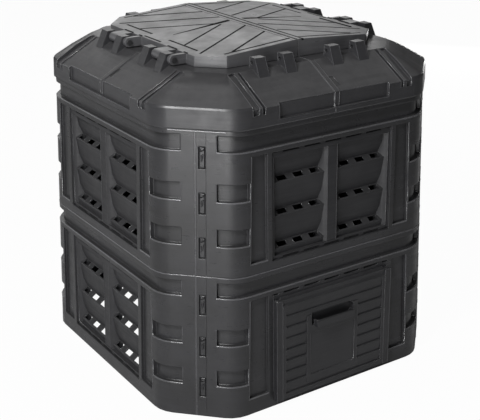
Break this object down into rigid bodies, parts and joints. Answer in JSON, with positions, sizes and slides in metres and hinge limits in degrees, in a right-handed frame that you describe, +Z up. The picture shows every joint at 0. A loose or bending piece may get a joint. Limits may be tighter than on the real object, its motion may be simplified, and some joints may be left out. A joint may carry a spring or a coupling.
{
  "type": "compost bin with lid",
  "caption": "Free-standing compost bin of locked wall panels with louvred windows, a sliding hatch, a sloping hood and two hinged lid flaps.",
  "frame": {"origin": "middle of the footprint's box, on the ground", "axes": "+Z up, -Y towards the side with the hatch, +X to the right seen from that side"},
  "size_m": [0.79, 0.812, 0.8102],
  "materials": {
    "wall_plastic": "satin moulded",
    "hood_plastic": "satin moulded",
    "lid_plastic": "satin moulded",
    "louvre_plastic": "satin moulded",
    "hatch_plastic": "satin moulded",
    "fitting_plastic": "satin moulded"
  },
  "bodies": {
    "bin": {"wall_lower_front": "wall_plastic", "wall_lower_right": "wall_plastic", "wall_lower_back": "wall_plastic", "wall_lower_left": "wall_plastic", "wall_upper_front": "wall_plastic", "wall_upper_right": "wall_plastic", "wall_upper_back": "wall_plastic", "wall_upper_left": "wall_plastic", "louvre_lower_right": "louvre_plastic", "louvre_lower_back": "louvre_plastic", "louvre_lower_left": "louvre_plastic", "louvre_upper_front": "louvre_plastic", "louvre_upper_right": "louvre_plastic", "louvre_upper_back": "louvre_plastic", "louvre_upper_left": "louvre_plastic", "hatch_frame": "hatch_plastic", "hood_quarter_front_left": "hood_plastic", "hood_quarter_front_right": "hood_plastic", "hood_quarter_back_right": "hood_plastic", "hood_quarter_back_left": "hood_plastic", "hood_clip_front": "fitting_plastic", "hood_clip_right": "fitting_plastic", "hood_clip_back": "fitting_plastic", "hood_clip_left": "fitting_plastic", "hinge_pin_left_front": "fitting_plastic", "hinge_pin_left_back": "fitting_plastic", "hinge_pin_right_front": "fitting_plastic", "hinge_pin_right_back": "fitting_plastic"},
    "hatch": {"hatch_door": "hatch_plastic"},
    "left_flap": {"lid_left": "lid_plastic"},
    "right_flap": {"lid_right": "lid_plastic"}
  },
  "joints": [
    {"name": "lid_left_hinge", "type": "hinge", "parent": "bin", "child": "left_flap", "pos_m": [-0.276, 0.01096, 0.7825], "axis": [0, -1, 0], "range_deg": [0, 110]},
    {"name": "lid_right_hinge", "type": "hinge", "parent": "bin", "child": "right_flap", "pos_m": [0.276, 0.01096, 0.7825], "axis": [0, 1, 0], "range_deg": [0, 110]},
    {"name": "hatch_slide", "type": "slide", "parent": "bin", "child": "hatch", "axis": [0, 0.0279, 0.9996], "range_m": [0, 0.18]}
  ]
}
